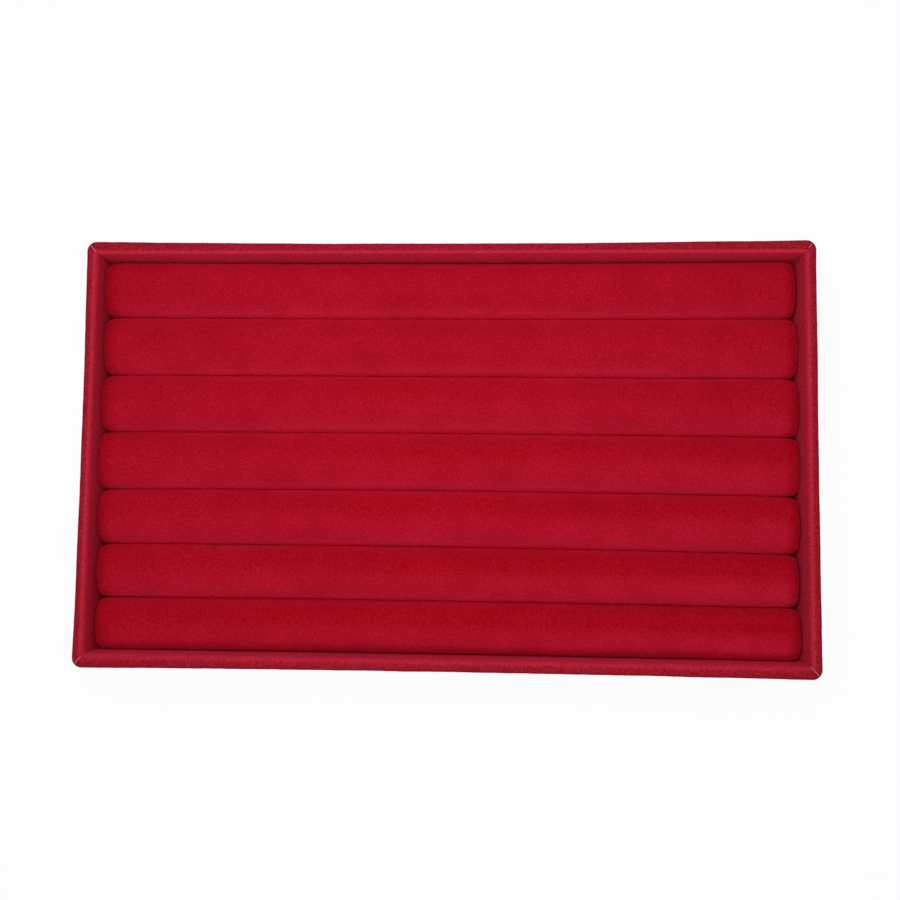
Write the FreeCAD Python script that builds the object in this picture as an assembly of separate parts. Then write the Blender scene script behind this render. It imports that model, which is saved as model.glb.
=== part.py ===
import FreeCAD
import Part
import math
import os

# Velvet ring tray: a shallow box of thin boards wrapped in velvet, with upholstered foam rolls
# lying side by side in it. Rings stand in the grooves between the rolls.
# Millimetres. X runs along the rolls, Y from the front to the back, Z up, and the origin is the
# middle of the underside.

# Tray, measured over the velvet
TRAY_LENGTH = 240.0
TRAY_WIDTH = 140.0
TRAY_HEIGHT = 30.0
CORNER_RADIUS = 2.4
RIM_ROUND = 0.9

# Sheet materials
VELVET = 0.6
WALL_BOARD = 2.2
BASE_BOARD = 2.5
UNDERSIDE_SHEET = 0.6
ROLL_CARD = 1.2

# Rolls, numbered from the back
ROLL_COUNT = 7
ROLL_HEIGHT = 22.0
SHOULDER_RADIUS = 5.0
SHOULDER_DROP = 6.0
SIDE_DRAW = 0.6
END_ROUND = 3.0
ROLL_HEM = 5.0

# The foam's ends are bevelled to this share of the rounding, so that the velvet lies over them
BEVEL_SHARE = 0.7

# The front rolls are pressed narrower: by this much times the square of the roll's place in the row
ROLL_PRESS = 0.065

# Clearances
ROLL_GAP = 0.3
END_GAP = 0.3
FRONT_SLACK = 0.7
END_SLACK = 0.9
GLUE_LINE = 0.1

# Worked out from the above
WALL = WALL_BOARD + 2 * VELVET
WELL_LENGTH = TRAY_LENGTH - 2 * WALL
WELL_WIDTH = TRAY_WIDTH - 2 * WALL
BASE_TOP = UNDERSIDE_SHEET + BASE_BOARD
FLOOR = BASE_TOP + VELVET


def block(length, width, low, high):
    """A square-cornered block about the Z axis between two heights."""
    corner = FreeCAD.Vector(-length / 2, -width / 2, low)
    return Part.makeBox(length, width, high - low, corner)


def rounded_block(length, width, low, high, radius):
    """A block whose upright corners are rounded."""
    plain = block(length, width, low, high)
    uprights = [e for e in plain.Edges if abs(e.tangentAt(e.FirstParameter).z) > 0.5]
    return plain.makeFillet(radius, uprights)


def prism(points, low, high):
    """An upright prism on a plan outline."""
    corners = [FreeCAD.Vector(x, y, low) for x, y in points]
    outline = Part.makePolygon(corners + corners[:1])
    return Part.Face(outline).extrude(FreeCAD.Vector(0, 0, high - low))


def inside_velvet(low, high):
    """What the outer velvet encloses between two heights."""
    return rounded_block(
        TRAY_LENGTH - 2 * VELVET, TRAY_WIDTH - 2 * VELVET, low, high, CORNER_RADIUS - VELVET
    )


def board_ring():
    """The four wall boards in one piece, standing on the base board."""
    top = TRAY_HEIGHT - VELVET
    opening = block(WELL_LENGTH + 2 * VELVET, WELL_WIDTH + 2 * VELVET, BASE_TOP, top)
    return inside_velvet(BASE_TOP, top).cut(opening)


def wall_boards():
    """Front and back boards at full length, with the left and right boards butted between them."""
    ring = board_ring()
    between = block(TRAY_LENGTH, WELL_WIDTH + 2 * VELVET, BASE_TOP, TRAY_HEIGHT)
    boards = {}
    for solid in ring.cut(between).Solids:
        boards["wall_board_back" if solid.CenterOfMass.y > 0 else "wall_board_front"] = solid
    for solid in ring.common(between).Solids:
        boards["wall_board_right" if solid.CenterOfMass.x > 0 else "wall_board_left"] = solid
    return boards


def cover_ring():
    """The velvet over all four walls: outer face, rounded rim and inner face down to the base."""
    outside = rounded_block(TRAY_LENGTH, TRAY_WIDTH, 0, TRAY_HEIGHT, CORNER_RADIUS)
    walled = outside.cut(block(WELL_LENGTH, WELL_WIDTH, BASE_TOP, TRAY_HEIGHT))
    rim = [e for e in walled.Edges if e.BoundBox.ZMin > TRAY_HEIGHT - RIM_ROUND / 2]
    walled = walled.makeFillet(RIM_ROUND, rim)
    return walled.cut(inside_velvet(0, BASE_TOP)).cut(board_ring())


def wall_covers():
    """The velvet cut on the diagonals of the corners, one strip to a wall."""
    x, y = TRAY_LENGTH / 2, TRAY_WIDTH / 2
    middle = x - y
    sectors = {
        "wall_cover_back": [(-x, y), (-middle, 0), (middle, 0), (x, y)],
        "wall_cover_front": [(x, -y), (middle, 0), (-middle, 0), (-x, -y)],
        "wall_cover_left": [(-x, -y), (-middle, 0), (-x, y)],
        "wall_cover_right": [(x, y), (middle, 0), (x, -y)],
    }
    ring = cover_ring()
    return {name: ring.common(prism(plan, 0, TRAY_HEIGHT)) for name, plan in sectors.items()}


def roll_widths():
    """Each roll's width, from the back: an even share of the well, less towards the front."""
    taken = (ROLL_COUNT + 1) * ROLL_GAP + FRONT_SLACK
    share = (WELL_WIDTH - taken) / ROLL_COUNT
    squares = [place**2 for place in range(ROLL_COUNT)]
    even = sum(squares) / ROLL_COUNT
    return [share + ROLL_PRESS * (even - square) for square in squares]


def roll_section(width, bottom, top, widest, shoulder):
    """A roll's closed outline across its length: flat base, drawn-in sides, shoulders and crown.

    The crown's arc runs smoothly into the shoulders' arcs, which meet the sides at the widest line.
    """
    half = width / 2
    reach = half - shoulder
    drop = top - widest
    crown = (reach**2 + drop**2 - shoulder**2) / (2 * (drop - shoulder))
    turn = math.asin(reach / (crown - shoulder))
    meet_y, meet_z = crown * math.sin(turn), top - crown * (1 - math.cos(turn))
    bend = (math.pi / 2 - turn) / 2
    bow_y, bow_z = reach + shoulder * math.cos(bend), widest + shoulder * math.sin(bend)
    upright = widest - bottom

    def point(y, z):
        return FreeCAD.Vector(0, y, z)

    def arc(first, middle, last):
        return Part.Arc(point(*first), point(*middle), point(*last)).toShape()

    def side(sign):
        return arc(
            (sign * (half - SIDE_DRAW), bottom),
            (sign * (half - SIDE_DRAW / 4), bottom + upright / 2),
            (sign * half, widest),
        )

    def shoulder_arc(sign):
        return arc((sign * half, widest), (sign * bow_y, bow_z), (sign * meet_y, meet_z))

    base = Part.LineSegment(
        point(SIDE_DRAW - half, bottom), point(half - SIDE_DRAW, bottom)
    ).toShape()
    crown_arc = arc((meet_y, meet_z), (0, top), (-meet_y, meet_z))
    edges = [base, side(1), shoulder_arc(1), crown_arc, shoulder_arc(-1), side(-1)]
    return Part.Wire(Part.__sortEdges__(edges))


def roll_form(width, bottom, inset):
    """A roll's loaf form between its ends, drawn in by an inset from the velvet's face."""
    crown_top = FLOOR + ROLL_HEIGHT
    section = roll_section(
        width - 2 * inset,
        bottom,
        crown_top - inset,
        crown_top - SHOULDER_DROP,
        SHOULDER_RADIUS - inset,
    )
    start = END_GAP - WELL_LENGTH / 2 + inset
    length = WELL_LENGTH - 2 * END_GAP - END_SLACK - 2 * inset
    loaf = Part.Face(section).extrude(FreeCAD.Vector(length, 0, 0))
    loaf.translate(FreeCAD.Vector(start, 0, 0))
    return loaf


def end_edges(loaf):
    """The edges round a loaf form's two ends, apart from those of its flat base."""
    box = loaf.BoundBox
    return [
        e
        for e in loaf.Edges
        if e.BoundBox.XLength < box.XLength / 2 and e.BoundBox.ZMax > box.Center.z
    ]


def padded_form(width):
    """The outside of a roll, with softly rounded ends."""
    loaf = roll_form(width, FLOOR, 0.0)
    return loaf.makeFillet(END_ROUND, end_edges(loaf))


def cut_form(width, bottom, inset):
    """What the velvet encloses: foam cut to the loaf form, with its ends bevelled."""
    loaf = roll_form(width, bottom, inset)
    return loaf.makeChamfer(BEVEL_SHARE * (END_ROUND - inset), end_edges(loaf))


def roll_parts(width):
    """One roll about Y = 0: velvet turned under the card, the card, and the foam on it."""
    bed = FLOOR + VELVET
    card_top = bed + ROLL_CARD
    hollow = cut_form(width, bed, VELVET)
    core = cut_form(width, bed, VELVET + GLUE_LINE)
    skin = padded_form(width).cut(hollow)
    box = core.BoundBox
    window_length = box.XLength - 2 * ROLL_HEM
    window = block(window_length, box.YLength - 2 * ROLL_HEM, FLOOR, bed)
    window.translate(FreeCAD.Vector(box.Center.x, 0, 0))
    below = block(TRAY_LENGTH, TRAY_WIDTH, FLOOR, card_top)
    return {
        "roll_cover": skin.cut(window),
        "roll_card": core.common(below),
        "roll_foam": core.cut(below),
    }


def rolls():
    """All rolls, laid from the back wall to the front with a gap between neighbours."""
    placed = {}
    back = WELL_WIDTH / 2 - ROLL_GAP
    for number, width in enumerate(roll_widths(), start=1):
        for name, shape in roll_parts(width).items():
            shape.translate(FreeCAD.Vector(0, back - width / 2, 0))
            placed[f"{name}_{number}"] = shape
        back -= width + ROLL_GAP
    return placed


def tray():
    """The boards and velvet that stay together when the rolls are lifted out."""
    return {
        "underside_sheet": inside_velvet(0, UNDERSIDE_SHEET),
        "base_board": inside_velvet(UNDERSIDE_SHEET, BASE_TOP),
        "floor_lining": block(WELL_LENGTH, WELL_WIDTH, BASE_TOP, FLOOR),
        **wall_boards(),
        **wall_covers(),
    }


os.makedirs("parts", exist_ok=True)
for node, shape in {**tray(), **rolls()}.items():
    shape.exportStep(f"parts/{node}.step")
    print(f"{node}: {len(shape.Solids)} solid, {shape.Volume:.1f} mm3, valid {shape.isValid()}")
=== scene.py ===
"""Red velvet ring tray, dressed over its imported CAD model.

A shallow tray of thin boards is wrapped in velvet, and seven upholstered rolls lie side by side in it.
Rings stand in the grooves between the rolls. Sizes are in millimetres, and MM turns them into metres.
"""

import logging
import math
from contextlib import contextmanager
from dataclasses import dataclass
from enum import Enum
from typing import Any, Iterable, Iterator, Sequence

import bmesh
import bpy
import numpy as np
from bpy.types import Material, Node, NodeSocket, NodeTree, Object, Scene
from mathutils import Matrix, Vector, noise


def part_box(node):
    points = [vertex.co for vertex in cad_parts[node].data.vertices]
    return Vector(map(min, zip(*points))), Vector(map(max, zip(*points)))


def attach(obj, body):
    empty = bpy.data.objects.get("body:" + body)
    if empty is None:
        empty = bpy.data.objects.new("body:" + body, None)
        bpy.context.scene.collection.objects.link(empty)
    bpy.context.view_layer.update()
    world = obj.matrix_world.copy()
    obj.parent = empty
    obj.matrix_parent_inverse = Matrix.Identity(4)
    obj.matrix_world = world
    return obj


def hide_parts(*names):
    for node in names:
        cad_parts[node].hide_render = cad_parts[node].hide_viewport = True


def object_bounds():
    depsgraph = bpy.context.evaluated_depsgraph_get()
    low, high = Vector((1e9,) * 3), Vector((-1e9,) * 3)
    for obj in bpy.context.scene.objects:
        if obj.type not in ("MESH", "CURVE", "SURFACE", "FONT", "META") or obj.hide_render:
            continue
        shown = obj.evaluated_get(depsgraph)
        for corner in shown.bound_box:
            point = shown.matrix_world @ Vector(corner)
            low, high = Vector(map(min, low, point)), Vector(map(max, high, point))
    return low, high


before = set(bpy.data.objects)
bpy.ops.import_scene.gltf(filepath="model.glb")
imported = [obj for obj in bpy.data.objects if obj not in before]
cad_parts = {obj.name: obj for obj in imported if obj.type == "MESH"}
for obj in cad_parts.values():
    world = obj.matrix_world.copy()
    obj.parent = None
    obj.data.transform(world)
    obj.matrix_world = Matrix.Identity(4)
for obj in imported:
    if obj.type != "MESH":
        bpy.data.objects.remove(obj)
CAD_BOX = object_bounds()

MM = 0.001
LOG = logging.getLogger("ring_tray")

# Name of the attribute that says how far the pile leans over, from 0, upright, to 1, lying on its side, and
# so how much painted highlight the velvet gets
NAP_AND_PAINTED_LIGHT = "nap_and_painted_light"
# Corners of a mesh that are closer than this, in metres, are the same corner
DOUBLES = 1e-7
# Stands for zero in a length that something is divided by
TINY = 1e-6
WHITE = "#FFFFFF"

# A shader's fixed values and its sources, both by socket
Look = tuple[dict[str, Any], dict[str, Node]]


def linear(code: str) -> tuple[float, float, float, float]:
    """Turns an sRGB hex colour into linear light.

    Args:
        code: Six hex digits after a hash sign.

    Returns:
        Red, green, blue and full opacity.
    """
    shares = [int(code[place:place + 2], 16) / 255 for place in (1, 3, 5)]
    red, green, blue = [s / 12.92 if s <= 0.04045 else ((s + 0.055) / 1.055) ** 2.4 for s in shares]
    return red, green, blue, 1.0


def add_node(
    tree: NodeTree,
    kind: str,
    values: dict[str | int, Any] | None = None,
    links: dict[str | int, NodeSocket | Node] | None = None,
    **settings: Any,
) -> Node:
    """Adds one node to a tree.

    Args:
        tree: The tree that gets the node.
        kind: Blender's type name for it.
        values: Fixed values by input socket.
        links: Sources by input socket: an output, or a node whose first output in use is meant.
        settings: The node's own options.

    Returns:
        The new node.
    """
    node = tree.nodes.new(kind)
    for name, value in settings.items():
        setattr(node, name, value)
    for socket, value in (values or {}).items():
        node.inputs[socket].default_value = value
    for socket, source in (links or {}).items():
        if isinstance(source, Node):
            source = next(output for output in source.outputs if output.enabled)
        tree.links.new(source, node.inputs[socket])
    return node


def empty_material(name: str) -> Material:
    """Makes a material with an empty node tree.

    Args:
        name: The material's name.

    Returns:
        The material.
    """
    material = bpy.data.materials.new(name)
    material.use_nodes = True
    material.node_tree.nodes.clear()
    return material


def new_piece(
    name: str,
    points: np.ndarray,
    faces: Iterable[Sequence[int]],
    edges: Iterable[Sequence[int]] = (),
) -> Object:
    """Makes a smooth-shaded mesh object at the origin.

    Args:
        name: The piece's name.
        points: Its corners in millimetres, one to a row.
        faces: Corner numbers of each face.
        edges: Corner numbers of each edge that no face has.

    Returns:
        The object, linked to the scene.
    """
    mesh = bpy.data.meshes.new(name)
    mesh.from_pydata((points * MM).tolist(), [tuple(edge) for edge in edges], [list(face) for face in faces])
    mesh.shade_smooth()
    piece = bpy.data.objects.new(name, mesh)
    bpy.context.scene.collection.objects.link(piece)
    return piece


def corners_of(piece: Object) -> np.ndarray:
    """Reads a mesh's corners.

    Args:
        piece: The piece.

    Returns:
        Places in millimetres, one to a row.
    """
    flat = np.empty(len(piece.data.vertices) * 3, np.float32)
    piece.data.vertices.foreach_get("co", flat)
    return flat.reshape(-1, 3).astype(float) / MM


def normals_of(piece: Object) -> np.ndarray:
    """Reads a mesh's corner normals.

    Args:
        piece: The piece.

    Returns:
        Unit vectors, one to a row.
    """
    flat = np.empty(len(piece.data.vertices) * 3, np.float32)
    piece.data.vertex_normals.foreach_get("vector", flat)
    return flat.reshape(-1, 3).astype(float)


def place_corners(piece: Object, points: np.ndarray) -> None:
    """Moves a mesh's corners to new places in millimetres."""
    piece.data.vertices.foreach_set("co", (points * MM).astype(np.float32).ravel())
    piece.data.update()


@contextmanager
def mesh_of(piece: Object) -> Iterator[bmesh.types.BMesh]:
    """Opens a piece's mesh for work, and puts it back with its faces pointing outwards.

    Args:
        piece: The piece.

    Yields:
        The mesh to work on.
    """
    work = bmesh.new()
    work.from_mesh(piece.data)
    yield work
    bmesh.ops.recalc_face_normals(work, faces=work.faces)
    work.to_mesh(piece.data)
    work.free()
    piece.data.update()


def turn_faces_out(piece: Object, doubles: float = 0.0) -> None:
    """Points a mesh's faces outwards.

    Args:
        piece: The piece.
        doubles: Corners closer than this, in metres, are merged first.
    """
    with mesh_of(piece) as work:
        if doubles > 0:
            bmesh.ops.remove_doubles(work, verts=work.verts, dist=doubles)


def freeze(piece: Object) -> None:
    """Turns what a piece's modifiers make into its plain mesh and removes them.

    Args:
        piece: The piece.
    """
    graph = bpy.context.evaluated_depsgraph_get()
    made = bpy.data.meshes.new_from_object(piece.evaluated_get(graph), depsgraph=graph)
    old = piece.data
    piece.modifiers.clear()
    piece.data = made
    made.name = piece.name
    bpy.data.meshes.remove(old)


def grow(piece: Object, tree: NodeTree, sizes: dict[str, float]) -> None:
    """Runs a geometry node tree on a piece and keeps what it makes as a plain mesh.

    Args:
        piece: The object that carries the tree's input.
        tree: The node tree.
        sizes: Values of its inputs by name.
    """
    growth = piece.modifiers.new(tree.name, "NODES")
    growth.node_group = tree
    for item in tree.interface.items_tree:
        if item.item_type == "SOCKET" and item.name in sizes:
            growth[item.identifier] = sizes[item.name]
    freeze(piece)


def lay_cloth(piece: Object, places: np.ndarray) -> None:
    """Lays the cloth's own map on a piece.

    Args:
        piece: The piece.
        places: Each corner's place on the cloth in millimetres.
    """
    order = np.empty(len(piece.data.loops), np.int32)
    piece.data.loops.foreach_get("vertex_index", order)
    cloth_map = piece.data.uv_layers.new(name="cloth")
    cloth_map.data.foreach_set("uv", (places[order] * MM).astype(np.float32).ravel())


def set_nap_and_painted_light(piece: Object, lean: np.ndarray) -> None:
    """Stores how far the pile leans over at each corner, from 0 to 1, which also sets the painted highlight
    there.
    """
    attribute = piece.data.attributes.new(NAP_AND_PAINTED_LIGHT, "FLOAT", "POINT")
    attribute.data.foreach_set("value", np.clip(lean, 0, 1).astype(np.float32))


def unevenness(points: np.ndarray, size: float, seed: float) -> np.ndarray:
    """Smooth noise at each point.

    Args:
        points: Places in millimetres, one to a row.
        size: Width of one bump in millimetres.
        seed: Shift that picks another stretch of the noise.

    Returns:
        One value from -1 to 1 to a point.
    """
    return np.array([noise.noise(place) for place in (points / size + seed).tolist()])


def gone_along(line: np.ndarray) -> np.ndarray:
    """Distance along a line from its first point to each of its points."""
    step = np.linalg.norm(np.diff(line, axis=0), axis=1)
    return np.concatenate([[0], np.cumsum(step)])


def beside(line: np.ndarray) -> np.ndarray:
    """Finds the direction to the right of a line at each of its points.

    Args:
        line: The line's points in a plane.

    Returns:
        Unit vectors at right angles to the line.
    """
    way = np.gradient(line, axis=0)
    way /= np.linalg.norm(way, axis=1)[:, None]
    return np.column_stack([way[:, 1], -way[:, 0]])


def quads_of(number: np.ndarray) -> np.ndarray:
    """The faces between the rows and columns of a grid of corner numbers, one to a row."""
    quads = np.stack([number[:-1, :-1], number[1:, :-1], number[1:, 1:], number[:-1, 1:]], axis=-1)
    return quads.reshape(-1, 4)


def dress(piece: Object, material: Material) -> None:
    """Gives a piece one material in place of any it has."""
    piece.data.materials.clear()
    piece.data.materials.append(material)


def report(piece: Object) -> None:
    """Reports a finished piece."""
    LOG.info("%s: %d faces", piece.name, len(piece.data.polygons))


@dataclass(frozen=True)
class Finish:
    """A material: a pattern of nodes under one shader.

    Attributes:
        name: The material's name.
    """

    name: str

    def pattern(self, tree: NodeTree, place: Any) -> Look:
        """Lays the pattern's nodes. Every kind of finish has its own."""
        raise NotImplementedError

    def material(self) -> Material:
        """Builds the material.

        Returns:
            The material.
        """
        material = empty_material(self.name)
        tree = material.node_tree
        values, links = self.pattern(tree, add_node(tree, "ShaderNodeTexCoord").outputs)
        shader = add_node(tree, "ShaderNodeBsdfPrincipled", values, links)
        add_node(tree, "ShaderNodeOutputMaterial", links={"Surface": shader})
        return material


@dataclass(frozen=True)
class Velvet(Finish):
    """Cotton velvet with a short cut pile, dyed red.

    The pile stands on end and swallows gloss, so from straight above the cloth is deep and even. Where it
    bends the pile opens, and a painted highlight makes it paler and pinker: it stands for the tufts' lit
    sides and keeps the bends as light as the flat cloth, where shade would darken them.

    Attributes:
        hollow: Colour between the tufts.
        crest: Colour of the tufts' cut ends.
        stroked: Colour of patches that were stroked the other way.
        painted_highlight: Painted highlight colour, added where the pile opens in place of the light on the
            tufts' lit sides.
        bloom: Tint of the light caught along the pile's edge.
        bloom_weight: Strength of that light.
        bloom_spread: How wide that light fans out, from 0 to 1.
        quiet: Share of the fleck pattern that shows where the pile stands upright.
        tuft: Width of a clump of tufts. The pile is finer, and is drawn this coarse so that it shows.
        streak: Width and length of a streak across the cloth where the pile was stroked one way.
        drift: Width of a stroked patch.
        depth: Depth of the pile.
    """

    hollow: str
    crest: str
    stroked: str
    painted_highlight: str
    bloom: str
    bloom_weight: float
    bloom_spread: float
    quiet: float
    tuft: float = 0.6
    streak: tuple[float, float] = (0.4, 1.3)
    drift: float = 26.0
    depth: float = 0.4

    def pattern(self, tree: NodeTree, place: Any) -> Look:
        """Lays the pile's flecks, its stroked patches and the painted highlight where it opens.

        Args:
            tree: The material's nodes.
            place: The outputs that tell where a point is.

        Returns:
            The shader's values and sources.
        """
        width, length = self.streak
        lean = add_node(tree, "ShaderNodeAttribute", attribute_name=NAP_AND_PAINTED_LIGHT).outputs["Fac"]
        tufts = add_node(
            tree, "ShaderNodeTexNoise", {"Scale": 1 / (self.tuft * MM), "Detail": 2.0, "Roughness": 0.6},
            {"Vector": place["Object"]},
        )
        along = add_node(
            tree, "ShaderNodeMapping", {"Scale": (1 / (width * MM), 1 / (length * MM), 1.0)},
            {"Vector": place["UV"]},
        )
        streaks = add_node(
            tree, "ShaderNodeTexNoise", {"Scale": 1.0, "Detail": 1.0}, {"Vector": along},
            noise_dimensions="2D",
        )
        patches = add_node(
            tree, "ShaderNodeTexNoise", {"Scale": 1 / (self.drift * MM), "Detail": 2.0},
            {"Vector": place["Object"]},
        )
        streaked = add_node(tree, "ShaderNodeMapRange", {"To Min": 0.15, "To Max": 0.6}, {"Value": lean})
        flecks = add_node(tree, "ShaderNodeMix", links={"Factor": streaked, "A": tufts, "B": streaks})
        crisp = add_node(tree, "ShaderNodeMapRange", {"From Min": 0.34, "From Max": 0.66}, {"Value": flecks})
        shown = add_node(
            tree, "ShaderNodeMapRange", {"From Max": 0.6, "To Min": self.quiet, "To Max": 1.0},
            {"Value": lean},
        )
        pile = add_node(tree, "ShaderNodeMix", {"A": 0.5}, {"Factor": shown, "B": crisp})
        ground = add_node(
            tree, "ShaderNodeMix", {"A": linear(self.hollow), "B": linear(self.crest)}, {"Factor": pile},
            data_type="RGBA",
        )
        turned = add_node(
            tree, "ShaderNodeMapRange", {"From Min": 0.4, "From Max": 0.7, "To Max": 0.25},
            {"Value": patches},
        )
        patched = add_node(
            tree, "ShaderNodeMix", {"B": linear(self.stroked)}, {"Factor": turned, "A": ground},
            data_type="RGBA",
        )
        # Painted highlight: a paler colour added where the pile leans over, in place of light and shade
        opened_painted_light = add_node(tree, "ShaderNodeMapRange", {"From Min": 0.1, "From Max": 0.9}, {"Value": lean})
        colour = add_node(
            tree, "ShaderNodeMix", {"B": linear(self.painted_highlight)}, {"Factor": opened_painted_light, "A": patched},
            data_type="RGBA", blend_type="ADD",
        )
        bumps = add_node(
            tree, "ShaderNodeBump", {"Strength": 0.45, "Distance": self.depth * MM}, {"Height": pile},
        )
        rough = add_node(tree, "ShaderNodeMapRange", {"To Min": 1.0, "To Max": 0.85}, {"Value": flecks})
        values = {
            "IOR": 1.46,
            "Specular IOR Level": 0.02,
            "Sheen Weight": self.bloom_weight,
            "Sheen Roughness": self.bloom_spread,
            "Sheen Tint": linear(self.bloom),
        }
        return values, {"Base Color": colour, "Roughness": rough, "Normal": bumps}


@dataclass(frozen=True)
class Board(Finish):
    """Pressed fibre in a flat sheet: short fibres in all directions, matt, with darker specks.

    Attributes:
        light: Colour of the palest fibres.
        dark: Colour of the darkest fibres.
        speck: Colour of the specks.
        fibre: Length of a fibre clump.
        speck_gap: Distance between specks.
        relief: Height of the fibres.
    """

    light: str
    dark: str
    speck: str
    fibre: float
    speck_gap: float
    relief: float = 0.1

    def pattern(self, tree: NodeTree, place: Any) -> Look:
        """Lays the fibres and the specks.

        Args:
            tree: The material's nodes.
            place: The outputs that tell where a point is.

        Returns:
            The shader's values and sources.
        """
        fibres = add_node(
            tree, "ShaderNodeTexNoise",
            {"Scale": 1 / (self.fibre * MM), "Detail": 4.0, "Roughness": 0.7, "Distortion": 1.5},
            {"Vector": place["Object"]},
        )
        specks = add_node(
            tree, "ShaderNodeTexVoronoi", {"Scale": 1 / (self.speck_gap * MM)}, {"Vector": place["Object"]},
        )
        spread = add_node(tree, "ShaderNodeMapRange", {"From Min": 0.3, "From Max": 0.7}, {"Value": fibres})
        fleck = add_node(
            tree, "ShaderNodeMapRange", {"From Min": 0.16, "From Max": 0.08, "To Max": 0.7},
            {"Value": specks},
        )
        ground = add_node(
            tree, "ShaderNodeMix", {"A": linear(self.dark), "B": linear(self.light)}, {"Factor": spread},
            data_type="RGBA",
        )
        colour = add_node(
            tree, "ShaderNodeMix", {"B": linear(self.speck)}, {"Factor": fleck, "A": ground},
            data_type="RGBA",
        )
        bumps = add_node(
            tree, "ShaderNodeBump", {"Strength": 0.3, "Distance": self.relief * MM}, {"Height": fibres},
        )
        rough = add_node(tree, "ShaderNodeMapRange", {"To Min": 0.95, "To Max": 0.75}, {"Value": fibres})
        values = {"IOR": 1.5, "Specular IOR Level": 0.3}
        return values, {"Base Color": colour, "Roughness": rough, "Normal": bumps}


@dataclass(frozen=True)
class Thread(Finish):
    """Spun cotton: matt, slightly fuzzy, with pale and dyed fibres side by side.

    Attributes:
        pale: Colour of the undyed fibres.
        dyed: Colour of the dyed fibres.
        fibre: Width of a bundle of fibres. It is drawn coarse so that it shows.
        relief: Height of the fibres.
    """

    pale: str
    dyed: str
    fibre: float
    relief: float = 0.03

    def pattern(self, tree: NodeTree, place: Any) -> Look:
        """Lays the pale and the dyed fibres.

        Args:
            tree: The material's nodes.
            place: The outputs that tell where a point is.

        Returns:
            The shader's values and sources.
        """
        fibres = add_node(
            tree, "ShaderNodeTexNoise", {"Scale": 1 / (self.fibre * MM), "Detail": 2.0},
            {"Vector": place["Object"]},
        )
        spread = add_node(tree, "ShaderNodeMapRange", {"From Min": 0.35, "From Max": 0.65}, {"Value": fibres})
        colour = add_node(
            tree, "ShaderNodeMix", {"A": linear(self.dyed), "B": linear(self.pale)}, {"Factor": spread},
            data_type="RGBA",
        )
        bumps = add_node(
            tree, "ShaderNodeBump", {"Strength": 0.4, "Distance": self.relief * MM}, {"Height": fibres},
        )
        rough = add_node(tree, "ShaderNodeMapRange", {"To Min": 0.95, "To Max": 0.75}, {"Value": fibres})
        values = {"IOR": 1.5, "Specular IOR Level": 0.2, "Sheen Weight": 0.3, "Sheen Roughness": 0.5}
        return values, {"Base Color": colour, "Roughness": rough, "Normal": bumps}


# Velvet over foam: the pile is full and upright on the crown of each roll
ROLL_VELVET = Velvet(
    name="cut_pile_velvet_on_foam",
    hollow="#92000A", crest="#B21226", stroked="#920211", painted_highlight="#851A32",
    bloom="#FF2848", bloom_weight=0.5, bloom_spread=0.4, quiet=0.75,
)
# Velvet stretched over a board's edge: the pile opens, and a paler painted highlight stands for its pale
# sides
WALL_VELVET = Velvet(
    name="cut_pile_velvet_stretched_on_board",
    hollow="#7E0816", crest="#B22236", stroked="#880E20", painted_highlight="#AA2A3C",
    bloom="#FF3560", bloom_weight=0.3, bloom_spread=0.4, quiet=1.0, tuft=0.5,
)
# Thin needled felt under the tray: matt and dark, with a loose tangle of fibres
FELT = Board(
    name="needled_felt_maroon",
    light="#7A1322", dark="#4E0713", speck="#94303C", fibre=1.1, speck_gap=2.6,
)
# Fibreboard sawn into walls and base: brown, with coarse chips of fibre
FIBREBOARD = Board(
    name="pressed_fibreboard",
    light="#B08B62", dark="#87653F", speck="#5D4226", fibre=1.6, speck_gap=4.0,
)
# Recycled card under each roll: grey, with pale and dark specks of paper
GREYBOARD = Board(
    name="recycled_greyboard",
    light="#A7A297", dark="#867F74", speck="#5A5650", fibre=0.9, speck_gap=3.0,
)
# Thread in the mitres: cotton dyed with the cloth, rubbed pale where it lies on top
SEWING_THREAD = Thread(name="twisted_cotton_thread", pale="#E87C8C", dyed="#B84058", fibre=0.12)


@dataclass(frozen=True)
class TraySizes:
    """The tray's measures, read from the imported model.

    Attributes:
        half_length: Half the tray along X.
        half_width: Half the tray along Y.
        height: Top of the rim.
        wall: Thickness of a wall with its velvet.
        board_top: Top of the base board.
        velvet: Thickness of the velvet.
    """

    half_length: float
    half_width: float
    height: float
    wall: float
    board_top: float
    velvet: float

    @classmethod
    def from_frame(cls) -> "TraySizes":
        """Reads the measures from the CAD nodes.

        Returns:
            The measures.
        """
        corner = CAD_BOX[1] / MM
        lining_low, lining_high = (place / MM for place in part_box("floor_lining"))
        return cls(
            half_length=corner.x,
            half_width=corner.y,
            height=corner.z,
            wall=corner.x - lining_high.x,
            board_top=lining_low.z,
            velvet=lining_high.z - lining_low.z,
        )


class Side(Enum):
    """The tray's walls, by the quarter turns from the front wall to each."""

    FRONT = 0
    RIGHT = 1
    BACK = 2
    LEFT = 3

    @property
    def label(self) -> str:
        """The side's name in node names."""
        return self.name.lower()

    def turned(self, quarters: int) -> "Side":
        """The wall that many quarter turns further round."""
        return Side((self.value + quarters) % len(Side))


@dataclass(frozen=True)
class Stray:
    """How far a line strays from straight: at its first end, middle and last end."""

    left: float
    middle: float
    right: float

    def at(self, share: np.ndarray) -> np.ndarray:
        """Follows the stray along the line.

        Args:
            share: Places along the line, by share of half its length from -1 to 1.

        Returns:
            The stray at each of them.
        """
        slope = (self.right - self.left) / 2
        bow = (self.right + self.left) / 2 - self.middle
        return self.middle + slope * share + bow * share**2


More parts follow.
